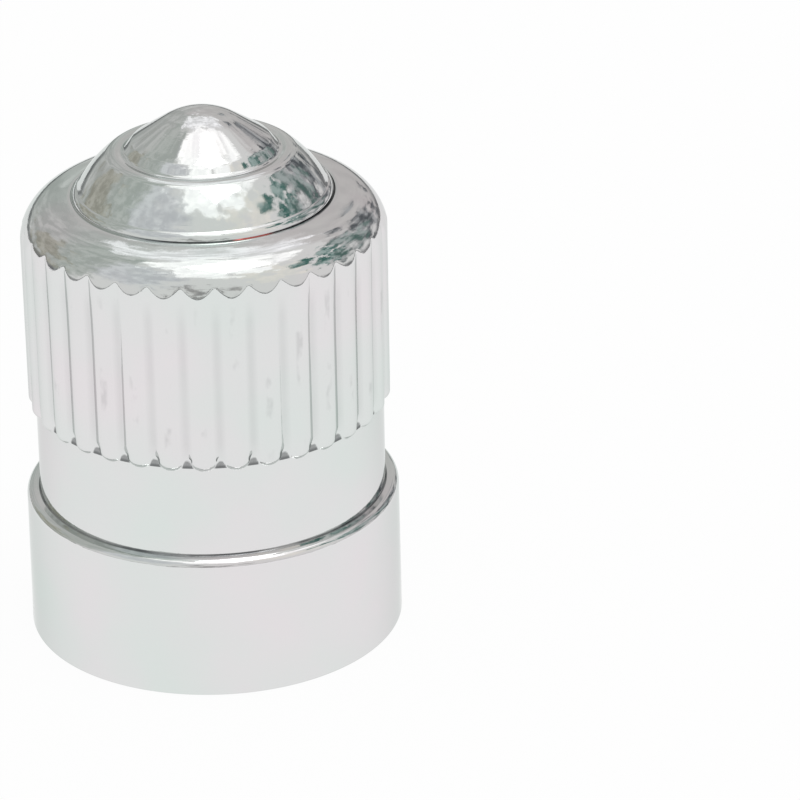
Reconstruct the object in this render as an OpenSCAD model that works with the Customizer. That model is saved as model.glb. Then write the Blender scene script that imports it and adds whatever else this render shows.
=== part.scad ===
// Sealing tyre valve cap: a drawn and chromed shell with a ribbed grip, a threaded insert
// pressed into its bore, and a soft seal behind the thread. It stands on its open mouth.
// All sizes are in millimetres.

/* [Thread and walls] */
// Radius of the thread's crests, which the valve stem runs in; the other radii are built out from it
thread_crest_r = 3.55; // [3.45:0.01:3.6]
// Wall of the insert behind the thread's crests
thread_wall = 0.6; // [0.5:0.01:0.7]
// Wall of the insert round the seal's pocket
pocket_wall = 0.25; // [0.2:0.01:0.3]
// Wall of the shell from the insert's bore to the plain band
shell_wall = 0.37; // [0.3:0.01:0.45]

/* [Mouth and collar] */
// Step out from the plain band to the collar's top edge
collar_step = 0.35; // [0.25:0.01:0.45]
// Widening of the collar from its top edge to the mouth
collar_flare = 0.03; // [0:0.01:0.1]
// Height of the ledge on top of the collar
collar_h = 3.83; // [3.5:0.05:4.3]
// Radius of the collar's rounded top edge
collar_edge = 0.2; // [0.05:0.05:0.25]
// Wall of the collar at the mouth
collar_wall = 0.5; // [0.35:0.01:0.6]
// Thickness of the step over the open space inside the collar
step_wall = 0.5; // [0.3:0.05:0.7]
// Rounding of both edges of the lip that the cap stands on
lip_round = 0.15; // [0.05:0.01:0.15]

/* [Ribs] */
// Height at which the plain band ends and the ribs begin
band_top = 6.28; // [5.5:0.02:7]
// Number of ribs round the grip
rib_count = 34; // [30:1:36]
// Turn of the first rib from the front, in degrees
rib_phase = 0.3; // [0:0.1:10]
// Height of the rib crests over the plain band
rib_height = 0.18; // [0.12:0.01:0.2]
// Radius of one rib's rounded crest
rib_round = 0.4; // [0.3:0.01:0.42]
// Rounding of the lower tip of each rib
rib_tip = 0.22; // [0.1:0.02:0.3]
// Depth of the groove floor under the plain band, at the ribs' lower end
groove_sink = 0.08; // [0.04:0.01:0.1]
// Height of the groove floor over the plain band, at the shoulder
groove_rise = 0.05; // [0:0.01:0.08]
// Half the height of the sloped ledge that closes each groove at the band
groove_ledge = 0.18; // [0.05:0.01:0.25]

/* [Shoulder, dome and nipple] */
// Height at which the shoulder's rounding begins
shoulder_z = 10.77; // [9.5:0.01:11]
// Radius of the shoulder's rounding
shoulder_round = 1.15; // [1.05:0.01:1.18]
// Width of the shoulder from the rib crests to the dome's foot
shoulder_width = 1.36; // [1.32:0.01:1.42]
// Rise from the start of the shoulder to the dome's foot
dome_foot_rise = 1.24; // [1.2:0.01:1.3]
// Slope of the dome's side, in degrees
dome_slope = 49.5; // [48.5:0.1:50.5]
// Rise from the dome's foot to the crown of its rim
dome_rise = 1.15; // [1.1:0.01:1.2]
// Rounding of the dome's rim, round the nipple
dome_round = 0.3; // [0.27:0.01:0.35]
// Distance of the nipple's foot inside the crown of the rim
nipple_inset = 0.18; // [0.1:0.01:0.24]
// Run of the steep kerb at the nipple's foot
kerb_run = 0.27; // [0.2:0.01:0.3]
// Rise of the kerb
kerb_rise = 0.29; // [0.25:0.01:0.32]
// Height of the nipple's tip above the dome's foot
nipple_rise = 2.19; // [2.12:0.01:2.25]
// Radius of the nipple's rounded tip
nipple_round = 1.85; // [1.75:0.01:1.88]
// Wall of the shell over the hollow dome
dome_wall = 0.45; // [0.35:0.01:0.5]

/* [Insert] */
// Radial gap left at the press fit
press_gap = 0.01; // [0.005:0.005:0.02]
// Height of the insert's rounded lower end above the mouth
insert_z = 1.75; // [1.4:0.05:2.2]
// Height of the end of the thread above the mouth
thread_top = 5.2; // [4.8:0.05:5.6]
// Thickness of the insert's closed end
end_wall = 0.35; // [0.25:0.05:0.5]
// Rounding of the insert's lower end
insert_round = 0.2; // [0.1:0.01:0.25]
// Radius of the wide step pressed into the closed end
dimple_wide_r = 1.35; // [1.25:0.01:1.45]
// Radius of the narrow step pressed into the closed end
dimple_narrow_r = 1.1; // [0.9:0.01:1.15]
// Depth of each step
dimple_step = 0.42; // [0.3:0.02:0.6]

/* [Seal] */
// Thickness of the seal at its rim
seal_rim = 1.2; // [1:0.05:1.5]
// Rise of the seal's conical face from its rim to its hole
seal_cone = 0.28; // [0.1:0.02:0.4]
// Radius of the hole through the seal
seal_hole_r = 1.6; // [1.5:0.02:1.8]
// Rounding of the hole's edge
seal_edge = 0.15; // [0.05:0.01:0.2]
// Gap between the seal's rim and its pocket
seal_gap = 0.04; // [0.02:0.01:0.08]

/* [Hidden] */
$fn = 72;
// Length by which a cut runs past what it cuts
over = 1;
// Radii, from the thread outwards
insert_r = thread_crest_r + thread_wall;
pocket_r = insert_r - pocket_wall;
band_r = insert_r + shell_wall;
crest_r = band_r + rib_height;
collar_top_r = band_r + collar_step;
mouth_r = collar_top_r + collar_flare;
collar_bore_r = mouth_r - collar_wall;
groove_low_r = band_r - groove_sink;
groove_high_r = band_r + groove_rise;
dome_foot_r = crest_r - shoulder_width;
// Ribs, and the grip as turned, just clear of their crests
rib_pitch = 360 / rib_count;
rib_centre_r = crest_r - rib_round;
grip_r = crest_r + 0.015;
// Shoulder, dome and nipple
shoulder_centre_r = grip_r - shoulder_round;
dome_foot_z = shoulder_z + dome_foot_rise;
nipple_top_z = dome_foot_z + nipple_rise;
nipple_centre_z = nipple_top_z - nipple_round;
// Insert: the seal's pocket and the closed end above the thread
pocket_top = thread_top + seal_rim + seal_cone;
insert_top = pocket_top + end_wall;
insert_wall_r = insert_r - press_gap;

// The point of a circle at an angle
function on_circle(centre, radius, angle) = centre + radius * [cos(angle), sin(angle)];

// Angle at which a line from a point outside a circle touches it, on the lower or the upper side
function touch_angle(centre, radius, point, side) =
    atan2(point[1] - centre[1], point[0] - centre[0]) + side * acos(radius / norm(point - centre));

// Centre of the rim's rounding, which touches the dome's side and its crown
function rim_centre(foot, crown_z) = [
    foot[0] - (crown_z - foot[1]) / tan(dome_slope) - dome_round * tan(dome_slope / 2),
    crown_z - dome_round
];

// Half section of the shoulder, the dome and the nipple, drawn inwards by a wall
module crown_section(wall) {
    shoulder_centre = [shoulder_centre_r, shoulder_z];
    shoulder_r = shoulder_round - wall;
    foot = [dome_foot_r - wall, dome_foot_z - wall / 2];
    shoulder_end = on_circle(shoulder_centre, shoulder_r, touch_angle(shoulder_centre, shoulder_r, foot, -1));
    rim = rim_centre(foot, dome_foot_z + dome_rise - wall);
    side_end = on_circle(rim, dome_round, 90 - dome_slope);
    nipple_foot = rim + [-nipple_inset, sqrt(pow(dome_round, 2) - pow(nipple_inset, 2))];
    kerb = nipple_foot + [-kerb_run, kerb_rise];
    nipple_centre = [0, nipple_centre_z];
    tip_r = nipple_round - wall;
    tip = on_circle(nipple_centre, tip_r, touch_angle(nipple_centre, tip_r, kerb, 1));
    // shoulder
    intersection() {
        union() {
            translate(shoulder_centre)
                circle(r = shoulder_r);
            polygon([[0, shoulder_z], shoulder_centre + [shoulder_r, 0], shoulder_end, foot, [0, foot[1]]]);
        }
        translate([0, shoulder_z])
            square([grip_r, dome_foot_rise]);
    }
    // dome with its rounded rim
    translate(rim)
        circle(r = dome_round);
    polygon([[0, foot[1]], foot, side_end, rim, nipple_foot, [0, nipple_foot[1]]]);
    // nipple
    polygon([[0, nipple_foot[1]], nipple_foot, kerb, tip, [0, tip[1]]]);
    intersection() {
        translate(nipple_centre)
            circle(r = tip_r);
        translate([0, tip[1]])
            square([nipple_round, nipple_round]);
    }
}

// Half section of the collar with its rounded lip and top edge
module collar_section() {
    polygon([
        [0, 0],
        [mouth_r - lip_round, 0],
        [mouth_r, lip_round],
        [collar_top_r, collar_h - collar_edge],
        [collar_top_r - collar_edge, collar_h],
        [0, collar_h]
    ]);
    translate([mouth_r - lip_round, lip_round])
        circle(r = lip_round);
    translate([collar_top_r - collar_edge, collar_h - collar_edge])
        circle(r = collar_edge);
}

// Half section of the whole shell as turned, before its grooves are cut
module outer_section() {
    tip_z = band_top + rib_tip;
    collar_section();
    square([band_r, tip_z]);
    translate([0, tip_z])
        square([grip_r, shoulder_z - tip_z]);
    intersection() {
        translate([grip_r - rib_tip, tip_z])
            circle(r = rib_tip);
        translate([0, band_top])
            square([grip_r, rib_tip]);
    }
    crown_section(0);
}

// Half section of the ring that the grooves are cut from, down to their floor and ledge
module groove_section() {
    ledge_run = (band_r - groove_low_r) / groove_ledge;
    polygon([
        [band_r + ledge_run * groove_ledge, band_top - groove_ledge],
        [groove_low_r, band_top + groove_ledge],
        [groove_high_r, shoulder_z],
        [groove_high_r, shoulder_z + over],
        [crest_r + over, shoulder_z + over],
        [crest_r + over, band_top - groove_ledge]
    ]);
}

// The grooves, which leave the ribs standing as rounded columns
module grooves() {
    difference() {
        rotate_extrude()
            groove_section();
        for (i = [0 : rib_count - 1])
            rotate(rib_phase - 90 + i * rib_pitch)
                translate([rib_centre_r, 0, band_top - over])
                    cylinder(r = rib_round, h = shoulder_z - band_top + 3 * over, $fn = 32);
    }
}

// Half section of the room inside the shell
module room_section() {
    step_z = collar_h - step_wall;
    translate([0, -over])
        square([collar_bore_r, step_z + over]);
    square([insert_r, shoulder_z]);
    intersection() {
        crown_section(dome_wall);
        square([insert_r, nipple_top_z]);
    }
    // rounded inner edge of the lip
    difference() {
        translate([0, -over])
            square([collar_bore_r + lip_round, over + lip_round]);
        translate([collar_bore_r + lip_round, lip_round])
            circle(r = lip_round);
    }
}

module shell() {
    color([0.86, 0.87, 0.87])
        difference() {
            rotate_extrude()
                outer_section();
            grooves();
            rotate_extrude()
                room_section();
        }
}

// Half section of the closed end's two steps, grown by a wall
module dimple_section(wall) {
    square([dimple_wide_r + wall, dimple_step + wall]);
    square([dimple_narrow_r + wall, 2 * dimple_step + wall]);
}

module threaded_insert() {
    color([0.8, 0.79, 0.74])
        rotate_extrude()
            difference() {
                union() {
                    translate([0, insert_z + insert_round])
                        square([insert_wall_r, insert_top - insert_z - insert_round]);
                    translate([0, insert_z])
                        square([insert_wall_r - insert_round, insert_top - insert_z]);
                    translate([insert_wall_r - insert_round, insert_z + insert_round])
                        circle(r = insert_round);
                    translate([0, pocket_top])
                        dimple_section(end_wall);
                }
                square([thread_crest_r, thread_top + over / 2]);
                // rounded entry of the thread
                difference() {
                    square([thread_crest_r + insert_round, insert_z + insert_round]);
                    translate([thread_crest_r + insert_round, insert_z + insert_round])
                        circle(r = insert_round);
                }
                translate([0, thread_top])
                    square([pocket_r, pocket_top - thread_top]);
                translate([0, pocket_top - over / 2])
                    square([dimple_wide_r, dimple_step + over / 2]);
                translate([0, pocket_top])
                    square([dimple_narrow_r, 2 * dimple_step]);
            }
}

module seal() {
    rim_r = pocket_r - seal_gap;
    face_z = thread_top + seal_cone;
    color([0.82, 0.09, 0.07])
        rotate_extrude()
            difference() {
                polygon([
                    [seal_hole_r, thread_top],
                    [rim_r, face_z],
                    [rim_r, pocket_top],
                    [seal_hole_r, pocket_top]
                ]);
                // rounded edge of the hole
                difference() {
                    translate([seal_hole_r - over, thread_top - over])
                        square([over + seal_edge, over + seal_edge]);
                    translate([seal_hole_r + seal_edge, thread_top + seal_edge])
                        circle(r = seal_edge);
                }
            }
}

shell();
threaded_insert();
seal();
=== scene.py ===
import math
from functools import partial

import bpy
import bmesh
from mathutils import Matrix, Vector


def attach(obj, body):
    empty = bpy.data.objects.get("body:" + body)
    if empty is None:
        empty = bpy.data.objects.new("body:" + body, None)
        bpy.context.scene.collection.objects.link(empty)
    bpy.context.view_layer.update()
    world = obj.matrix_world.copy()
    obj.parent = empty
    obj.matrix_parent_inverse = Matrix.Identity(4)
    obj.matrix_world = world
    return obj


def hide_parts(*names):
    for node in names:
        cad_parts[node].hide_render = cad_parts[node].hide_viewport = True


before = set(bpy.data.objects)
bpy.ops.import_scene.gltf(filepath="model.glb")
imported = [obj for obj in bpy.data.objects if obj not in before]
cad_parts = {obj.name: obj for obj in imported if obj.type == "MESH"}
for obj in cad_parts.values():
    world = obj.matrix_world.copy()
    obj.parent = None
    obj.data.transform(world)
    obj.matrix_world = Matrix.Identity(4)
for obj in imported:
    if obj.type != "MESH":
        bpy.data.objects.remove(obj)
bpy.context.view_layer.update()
mm = 0.001  # sizes below are in millimetres
perMm = 1000.0  # from the metres of a node tree to millimetres
print("frame loaded")

ribCount = 34
firstRib = -90.1  # degrees about the axis, from +X
bandR = 4.52

camera = {
    "elevation": 25.4868,
    "roll": -0.9325,
    "lens": 202.878,
    "sensor": 36.0,
    "nearest": 1.0,
    "farthest": 10000.0,
    "mouthRight": -4.84421,  # the mouth's centre, seen from the camera
    "mouthDown": 5.46607,
    "mouthAhead": 119.91271,
}


def placeCamera(values):
    tilt = math.radians(values["elevation"])
    roll = math.radians(values["roll"])
    up = Vector((math.sin(roll) * math.cos(tilt), -math.cos(roll) * math.cos(tilt), -math.sin(tilt)))
    right = Vector((math.cos(roll), math.sin(roll), 0.0))
    back = up.cross(right)
    mouth = Vector((values["mouthRight"], values["mouthDown"], values["mouthAhead"]))
    place = Vector((-mouth.dot(right), -mouth.dot(back), -mouth.dot(up))) * mm
    viewRight = Vector((right.x, back.x, up.x))
    viewDown = Vector((right.y, back.y, up.y))
    viewAhead = Vector((right.z, back.z, up.z))
    data = bpy.data.cameras.new("camera")
    data.lens = values["lens"]
    data.sensor_width = values["sensor"]
    data.sensor_fit = "HORIZONTAL"
    data.clip_start = values["nearest"] * mm
    data.clip_end = values["farthest"] * mm
    eye = bpy.data.objects.new("camera", data)
    bpy.context.scene.collection.objects.link(eye)
    turned = Matrix((viewRight, -viewDown, -viewAhead)).transposed().to_4x4()
    eye.matrix_world = Matrix.Translation(place) @ turned
    bpy.context.scene.camera = eye


placeCamera(camera)
print("camera placed")


# outlines, as half sections of points (radius, height)


def arc(centre, radius, start, end, steps):
    points = []
    for i in range(steps + 1):
        angle = math.radians(start + (end - start) * i / steps)
        points.append((centre[0] + radius * math.cos(angle), centre[1] + radius * math.sin(angle)))
    return points


def line(first, last, steps=1):
    return [
        (first[0] + (last[0] - first[0]) * i / steps, first[1] + (last[1] - first[1]) * i / steps)
        for i in range(steps + 1)
    ]


def bulged(first, last, bulge, steps):  # a flat curve that stands out from its chord
    along = (last[0] - first[0], last[1] - first[1])
    length = math.hypot(*along)
    out = (along[1] / length, -along[0] / length)
    points = []
    for i in range(steps + 1):
        t = i / steps
        swell = 4 * bulge * t * (1 - t)
        points.append((first[0] + along[0] * t + out[0] * swell, first[1] + along[1] * t + out[1] * swell))
    return points


def spin(name, outline, segments):  # turns the outline about the axis; points on the axis stay single
    shape = bmesh.new()
    rings = []
    for r, z in outline:
        if r < 1e-6:
            rings.append([shape.verts.new((0, 0, z * mm))])
            continue
        turns = [2 * math.pi * i / segments for i in range(segments)]
        rings.append([shape.verts.new((r * mm * math.cos(t), r * mm * math.sin(t), z * mm)) for t in turns])
    for lower, upper in zip(rings, rings[1:] + rings[:1]):
        if len(lower) == 1 and len(upper) == 1:
            continue
        for i in range(segments):
            j = (i + 1) % segments
            if len(upper) == 1:
                shape.faces.new((lower[i], lower[j], upper[0]))
            elif len(lower) == 1:
                shape.faces.new((lower[0], upper[j], upper[i]))
            else:
                shape.faces.new((lower[i], lower[j], upper[j], upper[i]))
    for face in shape.faces:
        face.smooth = True
    bmesh.ops.recalc_face_normals(shape, faces=shape.faces)
    data = bpy.data.meshes.new(name)
    shape.to_mesh(data)
    shape.free()
    piece = bpy.data.objects.new(name, data)
    bpy.context.scene.collection.objects.link(piece)
    return piece


# node trees


def plug(tree, socket, value):
    if isinstance(value, bpy.types.NodeSocket):
        tree.links.new(value, socket)
    else:
        socket.default_value = value


def addNode(tree, kind, **inputs):
    node = tree.nodes.new(kind)
    for name, value in inputs.items():
        plug(tree, node.inputs[name], value)
    return node


def operate(tree, kind, operation, values):
    node = tree.nodes.new(kind)
    node.operation = operation
    for socket, value in zip(node.inputs, values):
        plug(tree, socket, value)
    return node


def maths(tree, operation, *values):
    return operate(tree, "ShaderNodeMath", operation, values).outputs[0]


def vectorMaths(tree, operation, *values):
    return operate(tree, "ShaderNodeVectorMath", operation, values)


def product(tree, first, *others):
    for value in others:
        first = maths(tree, "MULTIPLY", first, value)
    return first


def ramp(tree, value, low, high, first, last, ease="LINEAR"):
    node = tree.nodes.new("ShaderNodeMapRange")
    node.interpolation_type = ease
    names = ("Value", "From Min", "From Max", "To Min", "To Max")
    for name, number in zip(names, (value, low, high, first, last)):
        plug(tree, node.inputs[name], number)
    return node.outputs[0]


# shapes that follow a rule, moved by Geometry Nodes


def openTree(name, sizes):
    tree = bpy.data.node_groups.new(name, "GeometryNodeTree")
    tree.interface.new_socket(name="Geometry", in_out="INPUT", socket_type="NodeSocketGeometry")
    for size in sizes:
        tree.interface.new_socket(name=size, in_out="INPUT", socket_type="NodeSocketFloat")
    tree.interface.new_socket(name="Finish", in_out="INPUT", socket_type="NodeSocketMaterial")
    tree.interface.new_socket(name="Geometry", in_out="OUTPUT", socket_type="NodeSocketGeometry")
    start = tree.nodes.new("NodeGroupInput")
    return tree, start.outputs


def placeOfPoint(tree):
    place = tree.nodes.new("GeometryNodeInputPosition").outputs[0]
    x, y, height = addNode(tree, "ShaderNodeSeparateXYZ", Vector=place).outputs
    flat = addNode(tree, "ShaderNodeCombineXYZ", X=x, Y=y).outputs[0]
    radius = vectorMaths(tree, "LENGTH", flat).outputs["Value"]
    turn = maths(tree, "DIVIDE", maths(tree, "ARCTAN2", y, x), 2 * math.pi)
    return flat, radius, turn, height


def moveToRadius(tree, sockets, chosen, flat, radius, newRadius, height):
    outward = tree.nodes.new("ShaderNodeVectorMath")
    outward.operation = "SCALE"
    tree.links.new(flat, outward.inputs[0])
    tree.links.new(maths(tree, "DIVIDE", newRadius, radius), outward.inputs["Scale"])
    x, y, _ = addNode(tree, "ShaderNodeSeparateXYZ", Vector=outward.outputs[0]).outputs
    target = addNode(tree, "ShaderNodeCombineXYZ", X=x, Y=y, Z=height).outputs[0]
    moved = addNode(tree, "GeometryNodeSetPosition", Geometry=sockets["Geometry"], Selection=chosen, Position=target)
    real = addNode(tree, "GeometryNodeRealizeInstances", Geometry=moved.outputs[0])
    dressed = addNode(tree, "GeometryNodeSetMaterial", Geometry=real.outputs[0], Material=sockets["Finish"])
    end = tree.nodes.new("NodeGroupOutput")
    tree.links.new(dressed.outputs[0], end.inputs[0])


def runTree(piece, tree, sizes, material):
    modifier = piece.modifiers.new(tree.name, "NODES")
    modifier.node_group = tree
    values = {**sizes, "Finish": material}
    for socket in tree.interface.items_tree:
        if socket.in_out == "INPUT" and socket.name in values:
            modifier[socket.identifier] = values[socket.name]
    seen = piece.evaluated_get(bpy.context.evaluated_depsgraph_get())
    plain = bpy.data.meshes.new_from_object(seen)
    piece.modifiers.remove(modifier)
    piece.data = plain
    return piece


# finishes


def finish(name):
    material = bpy.data.materials.new(name)
    material.use_nodes = True
    tree = material.node_tree
    return material, tree, tree.nodes["Principled BSDF"]


def noise(tree, place, scale, detail=3.0, rough=0.5):
    return addNode(tree, "ShaderNodeTexNoise", Vector=place, Scale=scale, Detail=detail, Roughness=rough).outputs[0]


def stretchedNoise(tree, place, scales):
    stretched = addNode(tree, "ShaderNodeMapping", Vector=place, Scale=scales).outputs[0]
    return noise(tree, stretched, 1.0, 3.0, 0.6)


def blendColors(tree, factor, first, last):
    node = tree.nodes.new("ShaderNodeMix")
    node.data_type = "RGBA"
    for socket, value in zip((node.inputs[0], node.inputs[6], node.inputs[7]), (factor, first, last)):
        plug(tree, socket, value)
    return node.outputs[2]


def bumpOf(tree, height, distance, under=None):
    node = addNode(tree, "ShaderNodeBump", Height=height, Strength=1.0, Distance=distance * mm)
    if under:
        tree.links.new(under, node.inputs["Normal"])
    return node.outputs[0]


chromeLook = {
    "color": (0.705, 0.75, 0.73, 1),
    "tint": (0.765, 0.735, 0.75, 1),
    "edge": (0.8, 0.82, 0.81, 1),  # seen at a grazing angle
    "tintScale": 230.0,
    "tintPatches": (0.35, 0.65),  # here and below, levels of noise over which patches set in
    "roughness": (0.03, 0.11),
    "wearScale": 900.0,
    "wearPatches": (0.4, 0.75),
    "grooveEndRoughness": 0.3,
    "wave": 0.012,  # slow waves of the drawn sheet, height in millimetres
    "waveScale": 420.0,
    "grain": 0.0016,
    "grainScale": 3500.0,
    "scratches": 0.0009,  # fine lines round the turned surfaces
    "scratchScales": (500.0, 500.0, 9000.0),
    "scratchPatches": (0.6, 0.72),
    "smudgeAndShadeColor": (0.05, 0.055, 0.06, 1),  # dark colour of the smudges on the ribs, and of the painted shade in the grooves, the groove ends, the crease and the hairline
    "ribsStart": (6.4, 7.0),  # heights over which the painted groove shade and the smudges set in
    "ribsEnd": (10.3, 10.9),
    "grooveShade": (0.1, 0.07),  # painted shade along the grooves, from patch to patch
    "grooveShadeScale": 400.0,
    "grooveShadePatches": (0.4, 0.6),
    "grooveShadeReach": (0.03, 0.16),  # from the groove's middle
    "smudge": 0.16,  # on the ribs' crests
    "smudgeScales": (1500.0, 1500.0, 800.0),
    "smudgePatches": (0.56, 0.66),
    "smudgeReach": (0.3, 0.38),
    "grooveEndZ": 6.3,  # half-moons of painted shade in the groove ends
    "grooveEndWidth": 0.15,
    "grooveEndHeight": 0.19,
    "grooveEndR": (4.515, 4.54),
    "grooveEndScale": 5200.0,  # of the noise that frays their outline
    "grooveEndFray": 0.5,
    "grooveEndFade": (0.85, 1.1),  # at the outline, which is 1
    "grooveEndBase": -0.02,  # in heights of a half-moon, as the next one
    "grooveEndRise": (0.1, 0.5),
    "grooveEndDarkness": (0.86, 0.55),  # at the flat base and above
    "creaseR": (4.46, 4.55, 4.57),  # where the painted shade in the crease over the collar starts, thins out and ends
    "creaseZ": (3.8, 3.87, 3.89),
    "creaseScale": 700.0,
    "creasePatches": (0.4, 0.6),
    "creaseDarkness": (0.6, 0.9),
    "hairlineR": 3.354,
    "hairlineZ": (11.975, 11.995),
    "hairlineHalf": (0.05, 0.022),  # half its width, at the right and elsewhere
    "wideTurn": -0.09,  # middle of the wide part, in turns from +X to the right of the camera
    "wideReach": (0.03, 0.09),
    "darkTurn": -0.13,  # middle of the dark part
    "darkReach": (0.16, 0.22),
    "hairlineDarkness": (0.95, 0.08),  # in the dark part and elsewhere
    "redTint": (0.62, 0.12, 0.1, 1),  # red tint painted into the dark hairline
    "redTintShare": 0.8,
    "redTintTurn": -0.183,  # at the right of the front
    "redTintReach": (0.018, 0.028),
}


def placeOnCap(tree):  # place in metres, the rest in millimetres and turns
    calc = partial(maths, tree)
    place = tree.nodes.new("ShaderNodeTexCoord").outputs["Object"]
    parts = addNode(tree, "ShaderNodeSeparateXYZ", Vector=place).outputs
    x, y, z = [calc("MULTIPLY", part, perMm) for part in parts]
    radius = calc("SQRT", calc("ADD", calc("MULTIPLY", x, x), calc("MULTIPLY", y, y)))
    turn = calc("DIVIDE", calc("ARCTAN2", y, x), 2 * math.pi)
    ribTurn = calc("MULTIPLY", calc("SUBTRACT", turn, firstRib / 360), ribCount)
    offGroove = calc("SUBTRACT", calc("FRACT", ribTurn), 0.5)  # 0 in the middle of a groove
    aside = product(tree, offGroove, radius, 2 * math.pi / ribCount)
    return {"place": place, "radius": radius, "turn": turn, "z": z, "aside": aside}


# painted shade along the grooves, and smudges of wear on the ribs' crests
def grooveShadeAndSmudges(tree, at, look):
    offMiddle = maths(tree, "ABSOLUTE", at["aside"])
    onRibs = product(tree, ramp(tree, at["z"], *look["ribsStart"], 0, 1), ramp(tree, at["z"], *look["ribsEnd"], 1, 0))
    grooveShadeNoise = noise(tree, at["place"], look["grooveShadeScale"], 3.0, 0.6)
    broken = ramp(tree, grooveShadeNoise, *look["grooveShadePatches"], *look["grooveShade"])
    grooveShade = product(tree, ramp(tree, offMiddle, *look["grooveShadeReach"], 1, 0), onRibs, broken)
    smudgeNoise = stretchedNoise(tree, at["place"], look["smudgeScales"])
    spots = ramp(tree, smudgeNoise, *look["smudgePatches"], 0, look["smudge"])
    smudges = product(tree, spots, onRibs, ramp(tree, offMiddle, *look["smudgeReach"], 0, 1))
    return maths(tree, "MAXIMUM", grooveShade, smudges)


def grooveEndShade(tree, at, look):  # where the painted shade lies, and how dark it is there
    calc = partial(maths, tree)
    across = calc("DIVIDE", at["aside"], look["grooveEndWidth"])
    up = calc("DIVIDE", calc("SUBTRACT", at["z"], look["grooveEndZ"]), look["grooveEndHeight"])
    reach = calc("SQRT", calc("ADD", calc("MULTIPLY", across, across), calc("MULTIPLY", up, up)))
    fray = calc("SUBTRACT", noise(tree, at["place"], look["grooveEndScale"], 3.0, 0.6), 0.5)
    reach = calc("ADD", reach, calc("MULTIPLY", fray, look["grooveEndFray"]))
    sunk = ramp(tree, at["radius"], *look["grooveEndR"], 1, 0)
    onEnd = product(tree, calc("GREATER_THAN", up, look["grooveEndBase"]), sunk)
    where = product(tree, ramp(tree, reach, *look["grooveEndFade"], 1, 0), onEnd)
    return where, ramp(tree, up, *look["grooveEndRise"], *look["grooveEndDarkness"])


# painted shade in the crease between the band and the collar's ledge
def creaseShade(tree, at, look):
    innerR, thinR, endR = look["creaseR"]
    lowZ, thinZ, endZ = look["creaseZ"]
    inside = product(tree, ramp(tree, at["radius"], thinR, endR, 1, 0), ramp(tree, at["z"], thinZ, endZ, 1, 0))
    outside = product(
        tree, maths(tree, "GREATER_THAN", at["radius"], innerR), maths(tree, "GREATER_THAN", at["z"], lowZ)
    )
    creaseNoise = noise(tree, at["place"], look["creaseScale"], 3.0, 0.6)
    patchy = ramp(tree, creaseNoise, *look["creasePatches"], *look["creaseDarkness"])
    return product(tree, inside, outside, patchy)


def turnsFrom(tree, at, middle):
    return maths(tree, "ABSOLUTE", maths(tree, "SUBTRACT", at["turn"], middle))


def hairline(tree, at, look):  # the fine line at the dome's foot: its painted shade, darkest at the right of the front, and its color
    offLine = maths(tree, "ABSOLUTE", maths(tree, "SUBTRACT", at["radius"], look["hairlineR"]))
    halfWidth = ramp(tree, turnsFrom(tree, at, look["wideTurn"]), *look["wideReach"], *look["hairlineHalf"])
    inLine = product(
        tree, maths(tree, "LESS_THAN", offLine, halfWidth), ramp(tree, at["z"], *look["hairlineZ"], 1, 0)
    )
    # red tint painted into the line at the right of the front
    nearRedTint = ramp(tree, turnsFrom(tree, at, look["redTintTurn"]), *look["redTintReach"], 1, 0)
    color = blendColors(tree, product(tree, nearRedTint, look["redTintShare"]), look["smudgeAndShadeColor"], look["redTint"])
    dark = ramp(tree, turnsFrom(tree, at, look["darkTurn"]), *look["darkReach"], *look["hairlineDarkness"])
    return product(tree, inLine, dark), color


def makeChrome(look):
    material, tree, shader = finish("brightChrome")
    at = placeOnCap(tree)
    place = at["place"]
    shader.inputs["Metallic"].default_value = 1.0
    shader.inputs["Specular Tint"].default_value = look["edge"]
    patches = ramp(tree, noise(tree, place, look["tintScale"]), *look["tintPatches"], 0, 1)
    color = blendColors(tree, patches, look["color"], look["tint"])
    # painted shade along the grooves, with smudges on the crests
    color = blendColors(tree, grooveShadeAndSmudges(tree, at, look), color, look["smudgeAndShadeColor"])
    # painted shade in the groove ends
    inEnds, darkness = grooveEndShade(tree, at, look)
    color = blendColors(tree, product(tree, inEnds, darkness), color, look["smudgeAndShadeColor"])
    # painted shade in the crease over the collar
    color = blendColors(tree, creaseShade(tree, at, look), color, look["smudgeAndShadeColor"])
    lineStrength, lineColor = hairline(tree, at, look)
    # painted shade in the hairline, with a painted red tint
    color = blendColors(tree, lineStrength, color, lineColor)
    tree.links.new(color, shader.inputs["Base Color"])
    wear = noise(tree, place, look["wearScale"], 6.0, 0.65)
    worn = ramp(tree, wear, *look["wearPatches"], *look["roughness"])
    rough = maths(tree, "ADD", worn, product(tree, inEnds, look["grooveEndRoughness"]))
    tree.links.new(rough, shader.inputs["Roughness"])
    waves = bumpOf(tree, noise(tree, place, look["waveScale"], 4.0, 0.5), look["wave"])
    grain = bumpOf(tree, noise(tree, place, look["grainScale"], 4.0, 0.7), look["grain"], waves)
    lines = ramp(tree, stretchedNoise(tree, place, look["scratchScales"]), *look["scratchPatches"], 0, 1)
    tree.links.new(bumpOf(tree, lines, look["scratches"], grain), shader.inputs["Normal"])
    return material


platingLook = {
    "color": (0.7, 0.685, 0.62, 1),
    "stain": (0.56, 0.53, 0.47, 1),
    "stainScale": 900.0,
    "stainPatches": (0.45, 0.7),
    "dullPatches": (0.35, 0.7),
    "roughness": (0.16, 0.3),
    "grain": 0.006,
    "grainScale": 2600.0,
}


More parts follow.
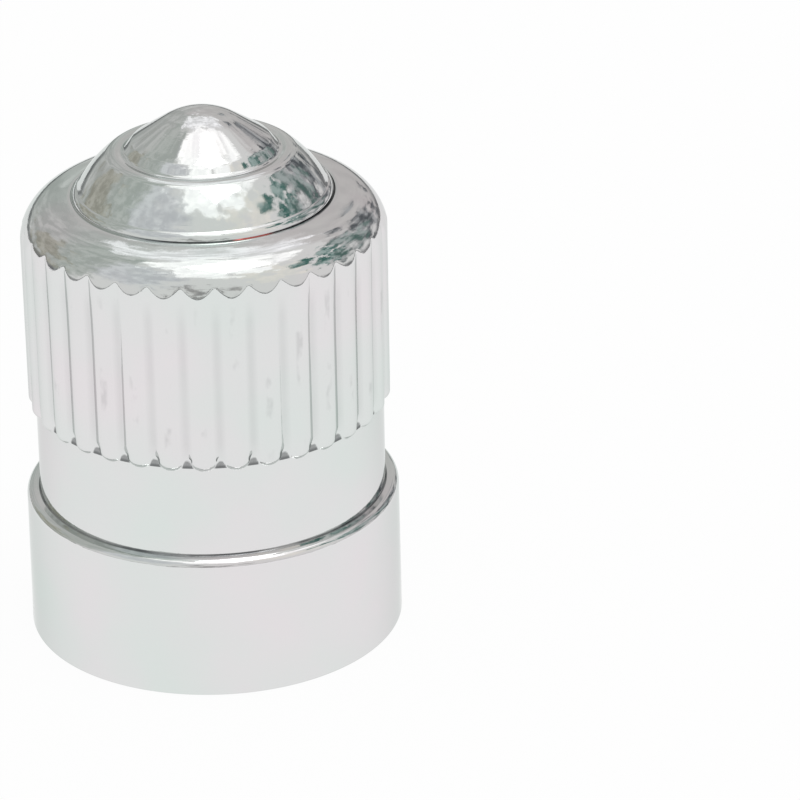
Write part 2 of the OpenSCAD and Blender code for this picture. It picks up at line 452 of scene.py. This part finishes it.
def makePlating(look):
    material, tree, shader = finish("palePlating")
    place = tree.nodes.new("ShaderNodeTexCoord").outputs["Object"]
    stains = noise(tree, place, look["stainScale"], 5.0, 0.6)
    shader.inputs["Metallic"].default_value = 1.0
    color = blendColors(tree, ramp(tree, stains, *look["stainPatches"], 0, 1), look["color"], look["stain"])
    tree.links.new(color, shader.inputs["Base Color"])
    dull = ramp(tree, stains, *look["dullPatches"], *look["roughness"])
    tree.links.new(dull, shader.inputs["Roughness"])
    grain = noise(tree, place, look["grainScale"], 4.0)
    tree.links.new(bumpOf(tree, grain, look["grain"]), shader.inputs["Normal"])
    return material


sealLook = {
    "color": (0.62, 0.022, 0.014, 1),
    "deep": (0.45, 0.012, 0.01, 1),
    "cloudScale": 500.0,
    "deepPatches": (0.35, 0.7),
    "dullPatches": (0.3, 0.7),
    "roughness": (0.34, 0.52),
    "softness": 0.15,
    "softReach": (0.0006, 0.0001, 0.0001),  # metres, for red, green and blue
    "grain": 0.006,
    "grainScale": 3000.0,
}


def makeSilicone(look):
    material, tree, shader = finish("redSilicone")
    place = tree.nodes.new("ShaderNodeTexCoord").outputs["Object"]
    clouds = noise(tree, place, look["cloudScale"], 3.0)
    color = blendColors(tree, ramp(tree, clouds, *look["deepPatches"], 0, 1), look["color"], look["deep"])
    tree.links.new(color, shader.inputs["Base Color"])
    dull = ramp(tree, clouds, *look["dullPatches"], *look["roughness"])
    tree.links.new(dull, shader.inputs["Roughness"])
    shader.inputs["Subsurface Weight"].default_value = look["softness"]
    shader.inputs["Subsurface Radius"].default_value = look["softReach"]
    grain = noise(tree, place, look["grainScale"], 3.0)
    tree.links.new(bumpOf(tree, grain, look["grain"]), shader.inputs["Normal"])
    return material


chrome = makeChrome(chromeLook)
plating = makePlating(platingLook)
silicone = makeSilicone(sealLook)
print("finishes made")


# shell: drawn and rolled, one wall from the lip to the nipple

shellSizes = {
    "mouthR": 4.9,
    "collarTopR": 4.87,
    "collarTop": 3.83,
    "collarEdge": 0.2,
    "collarBoreR": 4.4,
    "stepZ": 3.33,
    "stepEdge": 0.02,
    "lipRound": 0.06,
    "creaseRound": 0.05,
    "blankR": 4.715,  # the blank outside the ribs, before they are rolled
    "blankZ": 6.02,
    "ribEnds": (0.04, 0.78),  # over the blank's start; close rings for the grooves' run-out
    "ribMiddle": (1.0, -0.12),  # from the blank's start to the shoulder's
    "shoulderR": 3.565,  # centre of the shoulder's rounding
    "shoulderZ": 10.77,
    "shoulderRound": 1.15,
    "archTurn": 33,  # close rings up to here, where the arches cut the shoulder
    "shoulderTurns": (36, 76),
    "footR": 3.34,
    "footZ": 12.01,
    "lipStart": 0.03,  # the turned lip's start, below the foot
    "seatOuter": (0.2, -0.035),  # the seat outside the hairline, from the line's outer edge
    "seatInner": (0.02, -0.005),
    "hairline": 0.028,  # width of the fine line round the dome's foot
    "hairlineDepth": 0.03,
    "hairlineEdge": 0.02,
    "hairlineTaper": 0.004,
    "turnedLip": 0.13,  # width of the turned lip inside that line
    "lipRise": 0.19,
    "lipBulge": 0.018,
    "sideBulge": 0.045,  # of the dome's side, over its chord
    "rimTurn": 46,
    "rimR": 2.187,  # centre of the rim's rounding
    "rimZ": 12.737,
    "rimRound": 0.4,
    "nippleInset": 0.15,
    "kerbRun": 0.27,
    "kerbRise": 0.29,
    "coneRun": 0.6,
    "nippleTop": 14.2,
    "nippleRound": 1.85,
    "boreR": 4.15,
    "wall": 0.45,
    "domeInside": ((2.15, 12.66), (2.89, 11.79)),
    "stepsPerRib": 16,
}

flutes = {
    "Rib Count": float(ribCount),
    "First Rib": firstRib,
    "Crest Radius": 4.7,
    "Rib Radius Low": 0.38,  # narrow, rounded rib ends at the band
    "Rib Radius": 0.58,
    "Rib Radius High": 0.72,  # broad ribs, so narrow pointed arches, under the shoulder
    "Band Radius": bandR,
    "Floor Low": 4.49,
    "Floor Middle": 4.56,
    "Floor High": 4.585,
    "Band Top": 6.3,
    "Ledge Height": 0.21,
    "Tip Height": 6.48,
    "End Height": 6.8,
    "Arch Start": 9.9,
    "Arch Height": 11.0,
    "Soft Edge": 0.022,
    "Tip Taper": 1.3,
    "Clear Of Band": 0.02,  # what is rolled lies outside this and between the next two
    "Under Band Top": 0.275,
    "Over Arches": 0.42,
}


def shellOutline(s):
    crease = (bandR + s["creaseRound"], s["collarTop"] + s["creaseRound"])
    lipInner = (s["collarBoreR"] + s["lipRound"], s["lipRound"])
    lipOuter = (s["mouthR"] - s["lipRound"], s["lipRound"])
    edge = (s["collarTopR"] - s["collarEdge"], s["collarTop"] - s["collarEdge"])
    shoulder = (s["shoulderR"], s["shoulderZ"])
    rim = (s["rimR"], s["rimZ"])
    sideEnd = arc(rim, s["rimRound"], s["rimTurn"], s["rimTurn"], 1)[0]
    footRise = math.sqrt(s["rimRound"] ** 2 - s["nippleInset"] ** 2)
    nippleFoot = (rim[0] - s["nippleInset"], rim[1] + footRise)
    footTurn = math.degrees(math.atan2(footRise, -s["nippleInset"]))
    kerb = (nippleFoot[0] - s["kerbRun"], nippleFoot[1] + s["kerbRise"])
    tip = (0, s["nippleTop"] - s["nippleRound"])
    reach = math.hypot(kerb[0], kerb[1] - tip[1])
    tipTurn = math.degrees(math.atan2(kerb[1] - tip[1], kerb[0]) + math.acos(s["nippleRound"] / reach))

    # collar, ledge and band
    outer = arc(lipInner, s["lipRound"], 180, 270, 5) + arc(lipOuter, s["lipRound"], 270, 360, 7)
    outer += arc(edge, s["collarEdge"], 0, 90, 10)
    outer += arc(crease, s["creaseRound"], 270, 180, 4)
    # blank for the ribs
    endsLow, endsHigh = s["ribEnds"]
    middleLow, middleHigh = s["ribMiddle"]
    outer += line((bandR, s["blankZ"]), (s["blankR"], s["blankZ"] + 0.01))
    outer += line((s["blankR"], s["blankZ"] + endsLow), (s["blankR"], s["blankZ"] + endsHigh), 23)
    outer += line((s["blankR"], s["blankZ"] + middleLow), (s["blankR"], s["shoulderZ"] + middleHigh), 7)
    # shoulder
    outer += arc(shoulder, s["shoulderRound"], 0, s["archTurn"], 24)
    outer += arc(shoulder, s["shoulderRound"], *s["shoulderTurns"], 10)
    # hairline and turned lip at the dome's foot
    footR = s["footR"]
    lineR = footR + s["hairline"]
    lipZ = s["footZ"] - s["lipStart"]
    seat = [(lineR + run, lipZ + lift) for run, lift in (s["seatOuter"], s["seatInner"])]
    lineBottom = lipZ - s["hairlineDepth"]
    outer += line(*seat, 2)
    outer += [(lineR, lipZ - s["hairlineEdge"]), (lineR - s["hairlineTaper"], lineBottom)]
    outer += [(footR + s["hairlineTaper"], lineBottom), (footR, lipZ - s["hairlineEdge"])]
    lipEnd = (footR - s["turnedLip"], lipZ + s["lipRise"])
    outer += bulged((footR, lipZ), lipEnd, s["lipBulge"], 7)
    outer += [(lipEnd[0] - 0.01, lipEnd[1] + 0.002)]
    # dome's side, rim and nipple, with small gaps between them that round their meeting edges
    outer += bulged((lipEnd[0] - 0.02, lipEnd[1] + 0.014), sideEnd, s["sideBulge"], 11)[:-1]
    outer += arc(rim, s["rimRound"], s["rimTurn"], footTurn - 4, 10)
    outer += line((nippleFoot[0] - 0.012, nippleFoot[1] + 0.008), (kerb[0] + 0.02, kerb[1] - 0.02), 3)
    coneRise = s["coneRun"] / math.tan(math.radians(tipTurn))
    outer += line((kerb[0] - 0.02, kerb[1] + 0.013), (kerb[0] - s["coneRun"], kerb[1] + coneRise), 3)
    outer += arc(tip, s["nippleRound"], tipTurn + 2, 90, 10)
    outer[-1] = (0, s["nippleTop"])

    # inner wall, down to the mouth
    w = s["wall"]
    underStep = s["stepZ"] - s["stepEdge"]
    inner = [(0, s["nippleTop"] - w)] + arc(tip, s["nippleRound"] - w, 78, tipTurn, 3)
    inner += line((nippleFoot[0] - 0.1, nippleFoot[1] - w), (rim[0] - 0.1, rim[1] + s["rimRound"] - w))
    inner += line(*s["domeInside"], 2)
    inner += arc(shoulder, s["shoulderRound"] - w, 66, 42, 3)
    inner += line((s["boreR"], s["shoulderZ"] + 0.3), (s["boreR"], s["stepZ"]), 3)
    inner += line((s["boreR"] + s["stepEdge"], underStep), (s["collarBoreR"] - 0.04, underStep))
    inner += line((s["collarBoreR"], s["stepZ"] - 0.06), (s["collarBoreR"], s["lipRound"] + 0.3), 2)
    return outer + inner


def ribSection(calc, tree, size, turn, height):  # the rib's radius at each point, rounded at its lower tip
    ribTurn = calc("MULTIPLY", calc("SUBTRACT", turn, calc("DIVIDE", size["First Rib"], 360.0)), size["Rib Count"])
    offCentre = calc("SUBTRACT", calc("FRACT", calc("ADD", ribTurn, 0.5)), 0.5)  # 0 on a rib, 0.5 in a groove
    angle = calc("MULTIPLY", calc("DIVIDE", offCentre, size["Rib Count"]), 2 * math.pi)
    lowR, middleR, highR = size["Rib Radius Low"], size["Rib Radius"], size["Rib Radius High"]
    endPart = ramp(tree, height, size["Tip Height"], size["End Height"], lowR, middleR, "SMOOTHSTEP")
    broader = calc("SUBTRACT", highR, middleR)
    archPart = ramp(tree, height, size["Arch Start"], size["Arch Height"], 0.0, broader, "SMOOTHSTEP")
    ribR = calc("ADD", endPart, archPart)
    centre = calc("SUBTRACT", size["Crest Radius"], ribR)
    side = calc("MULTIPLY", centre, calc("SINE", angle))
    underTip = calc("MAXIMUM", calc("SUBTRACT", size["Tip Height"], height), 0.0)
    below = calc("MULTIPLY", underTip, size["Tip Taper"])
    away = calc("ADD", calc("MULTIPLY", side, side), calc("MULTIPLY", below, below))
    rest = calc("SUBTRACT", calc("POWER", ribR, 2.0), away)
    return calc("ADD", calc("MULTIPLY", centre, calc("COSINE", angle)), calc("SQRT", calc("MAXIMUM", rest, 0.0)))


def grooveFloor(calc, tree, size, height):  # from the band up a ledge, through a pocket, to the arches
    lowR, middleR, highR = size["Floor Low"], size["Floor Middle"], size["Floor High"]
    ledgeTop = calc("ADD", size["Band Top"], size["Ledge Height"])
    ledge = ramp(tree, height, size["Band Top"], ledgeTop, size["Band Radius"], lowR)
    pocket = ramp(tree, height, ledgeTop, size["End Height"], 0.0, calc("SUBTRACT", middleR, lowR), "SMOOTHSTEP")
    taper = ramp(tree, height, size["End Height"], size["Arch Height"], 0.0, calc("SUBTRACT", highR, middleR))
    return calc("ADD", calc("ADD", ledge, pocket), taper)


def fluteTree(sizes):
    tree, size = openTree("fluteRolling", sizes)
    calc = partial(maths, tree)
    flat, radius, turn, height = placeOfPoint(tree)
    inMm = calc("MULTIPLY", height, perMm)
    rInMm = calc("MULTIPLY", radius, perMm)
    rib = ribSection(calc, tree, size, turn, inMm)
    floor = grooveFloor(calc, tree, size, inMm)
    fluted = calc("SMOOTH_MAX", rib, floor, size["Soft Edge"])
    rolled = calc("SMOOTH_MIN", rInMm, fluted, size["Soft Edge"])
    outside = calc("GREATER_THAN", rInMm, calc("ADD", size["Band Radius"], size["Clear Of Band"]))
    above = calc("GREATER_THAN", inMm, calc("SUBTRACT", size["Band Top"], size["Under Band Top"]))
    under = calc("LESS_THAN", inMm, calc("ADD", size["Arch Height"], size["Over Arches"]))
    chosen = product(tree, outside, above, under)
    moveToRadius(tree, size, chosen, flat, radius, calc("DIVIDE", rolled, perMm), height)
    return tree


def makeShell():
    blank = spin("chromedShell", shellOutline(shellSizes), ribCount * shellSizes["stepsPerRib"])
    return runTree(blank, fluteTree(flutes), flutes, chrome)


shell = makeShell()
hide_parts("shell")
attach(shell, "root")
print("shell made:", len(shell.data.polygons), "faces")


# threaded insert: pressed into the shell's bore, its thread rolled in a right-hand helix

insertSizes = {
    "outerR": 4.14,
    "lowerEnd": 1.75,
    "round": 0.2,
    "crestR": 3.55,
    "threadTop": 5.2,
    "threadRings": 90,
    "pocketR": 3.9,
    "pocketTop": 6.68,
    "endWall": 0.35,
    "roofRound": 0.1,
    "wideR": 1.35,
    "narrowR": 1.1,
    "step": 0.42,
    "stepRound": 0.07,
    "segments": 192,
}

thread = {
    "Pitch": 0.794,
    "Crest Radius": insertSizes["crestR"],
    "Depth": 0.3,
    "Start": 1.95,
    "End": 5.19,
    "Fade": 0.35,
    "Crest Flatness": 0.8,  # power of the wave; under 1 narrows the crests
    "Wall Reach": 0.004,  # points this near the crest radius are the wall's
}


def insertOutline(s):
    low = s["lowerEnd"] + s["round"]
    roof = s["pocketTop"] + s["endWall"]
    corner = s["roofRound"]
    wideOut = s["wideR"] + s["endWall"]
    narrowOut = s["narrowR"] + s["endWall"]
    # outer wall and the outside of the closed end
    outline = arc((s["outerR"] - s["round"], low), s["round"], 270, 360, 6)
    outline += line((s["outerR"], low + 0.5), (s["outerR"], roof - corner), 3)
    outline += arc((s["outerR"] - corner, roof - corner), corner, 30, 90, 3)
    outline += [(wideOut, roof), (wideOut, roof + s["step"])]
    outline += [(narrowOut, roof + s["step"]), (narrowOut, roof + 2 * s["step"]), (0, roof + 2 * s["step"])]
    # the dimple's two steps, from the middle out, and the pocket
    top = s["pocketTop"] + 2 * s["step"]
    e = s["stepRound"]
    outline += [(0, top - 0.02), (s["narrowR"] * 0.6, top - 0.015)]
    outline += arc((s["narrowR"] - e, top - e), e, 90, 0, 4)
    outline += arc((s["narrowR"] + e, top - s["step"] + e), e, 180, 270, 4)
    outline += arc((s["wideR"] - e, top - s["step"] - e), e, 90, 0, 4)
    outline += arc((s["wideR"] + e, s["pocketTop"] + e), e, 180, 270, 4)
    outline += arc((s["pocketR"] - e, s["pocketTop"] - e), e, 90, 0, 3)
    outline += arc((s["pocketR"] - e, s["threadTop"] + e), e, 0, -90, 3)
    # thread's wall, down to the rounded lower end
    outline += line((s["crestR"] + 0.01, s["threadTop"]), (s["crestR"], s["threadTop"] - 0.02))
    outline += line((s["crestR"], s["threadTop"] - 0.04), (s["crestR"], low + 0.02), s["threadRings"])
    outline += arc((s["crestR"] + s["round"], low), s["round"], 180, 262, 6)
    return outline


def threadTree(sizes):
    tree, size = openTree("threadRolling", sizes)
    calc = partial(maths, tree)
    flat, radius, turn, height = placeOfPoint(tree)
    inMm = calc("MULTIPLY", height, perMm)
    rInMm = calc("MULTIPLY", radius, perMm)
    along = calc("FRACT", calc("SUBTRACT", calc("DIVIDE", inMm, size["Pitch"]), turn))
    swing = calc("COSINE", calc("MULTIPLY", along, 2 * math.pi))
    wave = calc("SUBTRACT", 0.5, calc("MULTIPLY", swing, 0.5))
    into = calc("MINIMUM", calc("DIVIDE", calc("SUBTRACT", inMm, size["Start"]), size["Fade"]), 1.0)
    out = calc("MINIMUM", calc("DIVIDE", calc("SUBTRACT", size["End"], inMm), size["Fade"]), 1.0)
    faded = product(tree, calc("MAXIMUM", into, 0.0), calc("MAXIMUM", out, 0.0))
    cut = product(tree, size["Depth"], calc("POWER", wave, size["Crest Flatness"]))
    depth = product(tree, cut, faded)
    newRadius = calc("DIVIDE", calc("ADD", size["Crest Radius"], depth), perMm)
    offWall = calc("ABSOLUTE", calc("SUBTRACT", rInMm, size["Crest Radius"]))
    onWall = calc("LESS_THAN", offWall, size["Wall Reach"])
    within = product(tree, calc("GREATER_THAN", inMm, size["Start"]), calc("LESS_THAN", inMm, size["End"]))
    moveToRadius(tree, size, product(tree, onWall, within), flat, radius, newRadius, height)
    return tree


def makeInsert():
    blank = spin("threadedInsert", insertOutline(insertSizes), insertSizes["segments"])
    return runTree(blank, threadTree(thread), thread, plating)


insert = makeInsert()
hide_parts("threaded_insert")
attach(insert, "root")
print("insert made:", len(insert.data.polygons), "faces")


# seal: a moulded ring with a conical face

sealSizes = {
    "holeR": 1.6,
    "rimR": 3.86,
    "faceLow": 5.2,
    "faceHigh": 5.48,
    "faceRings": (2.0, 2.4, 2.8, 3.2, 3.55),
    "top": 6.67,
    "edge": 0.16,
    "rimEdge": 0.12,
    "segments": 128,
}


def sealOutline(s):
    outline = arc((s["holeR"] + s["edge"], s["faceLow"] + s["edge"]), s["edge"], 180, 266, 8)
    slope = (s["faceHigh"] - s["faceLow"]) / (s["rimR"] - s["holeR"])
    outline += [(r, s["faceLow"] + slope * (r - s["holeR"])) for r in s["faceRings"]]
    outline += arc((s["rimR"] - s["rimEdge"], s["faceHigh"] + s["rimEdge"]), s["rimEdge"], 285, 360, 5)
    outline += arc((s["rimR"] - s["rimEdge"], s["top"] - s["rimEdge"]), s["rimEdge"], 0, 90, 5)
    outline += arc((s["holeR"] + s["rimEdge"], s["top"] - s["rimEdge"]), s["rimEdge"], 90, 180, 5)
    return outline


seal = spin("redSeal", sealOutline(sealSizes), sealSizes["segments"])
seal.data.materials.append(silicone)
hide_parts("seal")
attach(seal, "root")
print("seal made:", len(seal.data.polygons), "faces")


# floor, world and lamps

floorLook = {
    "half": 150.0,
    "top": -0.005,  # just under the lip, so that the two don't share a plane
    "color": (0.9, 0.9, 0.9, 1),
    "roughness": 0.9,
    "glow": 0.95,  # share of plain white that the camera and the chrome see
}


def mixShaders(tree, factor, first, last):
    node = tree.nodes.new("ShaderNodeMixShader")
    for socket, output in zip(node.inputs, (factor, first, last)):
        tree.links.new(output, socket)
    return node.outputs[0]


def makeFloor(look):
    half, top = look["half"] * mm, look["top"] * mm
    corners = [(x * half, y * half, top) for x, y in ((-1, -1), (1, -1), (1, 1), (-1, 1))]
    data = bpy.data.meshes.new("floor")
    data.from_pydata(corners, [], [(0, 1, 2, 3)])
    floor = bpy.data.objects.new("floor", data)
    bpy.context.scene.collection.objects.link(floor)
    material, tree, shader = finish("paleFloor")
    shader.inputs["Base Color"].default_value = look["color"]
    shader.inputs["Roughness"].default_value = look["roughness"]
    white = addNode(tree, "ShaderNodeEmission", Color=(1, 1, 1, 1), Strength=1.0).outputs[0]
    rays = tree.nodes.new("ShaderNodeLightPath").outputs
    mirrored = maths(tree, "MAXIMUM", rays["Is Glossy Ray"], rays["Is Transmission Ray"])
    seen = maths(tree, "MAXIMUM", rays["Is Camera Ray"], mirrored)
    above = mixShaders(tree, product(tree, seen, look["glow"]), shader.outputs[0], white)
    clear = tree.nodes.new("ShaderNodeBsdfTransparent").outputs[0]  # from below, so the mouth can be seen
    fromBelow = tree.nodes.new("ShaderNodeNewGeometry").outputs["Backfacing"]
    tree.links.new(mixShaders(tree, fromBelow, above, clear), tree.nodes["Material Output"].inputs[0])
    data.materials.append(material)


# what the bright metal shows, by direction: azimuth from the camera's side to the right, and elevation,
# then the angles within which a patch is full and where it ends, and the two colors mixed in it
studioTones = {
    "leftWall": ((-115, 30), (34, 43), (0.44, 0.47, 0.445), (0.56, 0.585, 0.56)),
    "backLeft": ((-158, 25), (22, 30), (0.48, 0.495, 0.48), (0.62, 0.63, 0.615)),
    "leftShelf": ((-118, 14), (13, 22), (0.35, 0.35, 0.3), (0.5, 0.5, 0.44)),
    "backRight": ((158, 28), (24, 34), (0.6, 0.58, 0.575), (0.66, 0.64, 0.63)),
    "rightWall": ((112, 20), (15, 24), (0.2, 0.22, 0.22), (0.5, 0.52, 0.52)),
    "rightShade": ((139, 18), (15, 21), (0.1, 0.11, 0.12), (0.46, 0.47, 0.48)),
    "creamCard": ((56, 46), (16, 22), (0.92, 0.89, 0.83), (0.82, 0.82, 0.78)),
    "lilacCard": ((-50, 46), (16, 30), (0.6, 0.61, 0.635), (0.76, 0.775, 0.79)),
    "cameraSide": ((-2, 15), (7, 19), (0.34, 0.335, 0.335), (0.5, 0.49, 0.48)),
    "backStrip": ((176, 62), (14, 20), (0.85, 0.85, 0.86), (1.2, 1.2, 1.22)),
    "ceiling": ((40, 80), (21, 28), (1.2, 1.2, 1.2), (1.4, 1.4, 1.38)),
    "greenDoor": ((98, 32), (8, 14), (0.065, 0.16, 0.14), (0.4, 0.5, 0.48)),
    "greenCurtain": ((116, 21), (5, 13), (0.1, 0.165, 0.15), (0.42, 0.475, 0.465)),
}

worldLook = {
    "room": (0.8, 0.8, 0.79, 1),
    "horizon": (0.16, 0.165, 0.17, 1),
    "light": (0.78, 0.78, 0.78, 1),  # what lights the object
    "background": (1, 1, 1, 1),  # what the camera sees
    "ripple": 0.55,  # how far the patches' outlines are bent
    "rippleScale": 5.0,
    "cloudScale": 9.0,
    "cloudPatches": (0.44, 0.58),  # where the second tone of each patch sets in
    "horizonHeight": (-0.01, 0.05),
    "horizonPatches": (0.38, 0.6),
    "horizonDarkness": (0.45, 1),
}


def towards(azimuth, elevation):
    turn, lift = math.radians(azimuth), math.radians(elevation)
    return Vector((math.sin(turn) * math.cos(lift), -math.cos(turn) * math.cos(lift), math.sin(lift)))


def makeWorld(look):
    world = bpy.data.worlds.new("studio")
    bpy.context.scene.world = world
    world.use_nodes = True
    tree = world.node_tree
    direction = tree.nodes.new("ShaderNodeTexCoord").outputs["Generated"]
    scale = look["rippleScale"]
    ripple = addNode(tree, "ShaderNodeTexNoise", Vector=direction, Scale=scale, Detail=5.0, Roughness=0.62)
    centred = vectorMaths(tree, "SUBTRACT", ripple.outputs["Color"], (0.5, 0.5, 0.5)).outputs[0]
    bent = vectorMaths(tree, "MULTIPLY_ADD", centred, [look["ripple"]] * 3, direction).outputs[0]
    clouds = noise(tree, direction, look["cloudScale"], 6.0, 0.68)
    patches = ramp(tree, clouds, *look["cloudPatches"], 0, 1)
    room = look["room"]
    for aim, reach, first, second in studioTones.values():
        near = vectorMaths(tree, "DOT_PRODUCT", bent, towards(*aim)).outputs["Value"]
        full, end = [math.cos(math.radians(angle)) for angle in reach]
        tone = blendColors(tree, patches, (*first, 1), (*second, 1))
        room = blendColors(tree, ramp(tree, near, end, full, 0, 1), room, tone)
    up = addNode(tree, "ShaderNodeSeparateXYZ", Vector=direction).outputs[2]
    low = ramp(tree, up, *look["horizonHeight"], 1, 0)
    uneven = ramp(tree, clouds, *look["horizonPatches"], *look["horizonDarkness"])
    room = blendColors(tree, product(tree, low, uneven), room, look["horizon"])
    rays = tree.nodes.new("ShaderNodeLightPath").outputs
    lit = blendColors(tree, rays["Is Glossy Ray"], look["light"], room)
    seen = blendColors(tree, rays["Is Camera Ray"], lit, look["background"])
    tree.links.new(seen, tree.nodes["Background"].inputs["Color"])


lamps = {
    "overhead": {"azimuth": 48, "elevation": 78, "distance": 300, "width": 120, "height": 130, "power": 0.15},
}
lampAim = 7.0  # height on the axis that the lamps point at


def makeLamp(name, values):
    data = bpy.data.lights.new(name, "AREA")
    data.shape = "RECTANGLE"
    data.size = values["width"] * mm
    data.size_y = values["height"] * mm
    data.energy = values["power"]
    lamp = bpy.data.objects.new(name, data)
    aim = towards(values["azimuth"], values["elevation"])
    lamp.location = aim * values["distance"] * mm + Vector((0, 0, lampAim * mm))
    lamp.rotation_euler = aim.to_track_quat("Z", "Y").to_euler()
    bpy.context.scene.collection.objects.link(lamp)


makeFloor(floorLook)
makeWorld(worldLook)
for lampName, lampValues in lamps.items():
    makeLamp(lampName, lampValues)
bpy.context.scene.view_settings.view_transform = "Standard"
print("studio made")
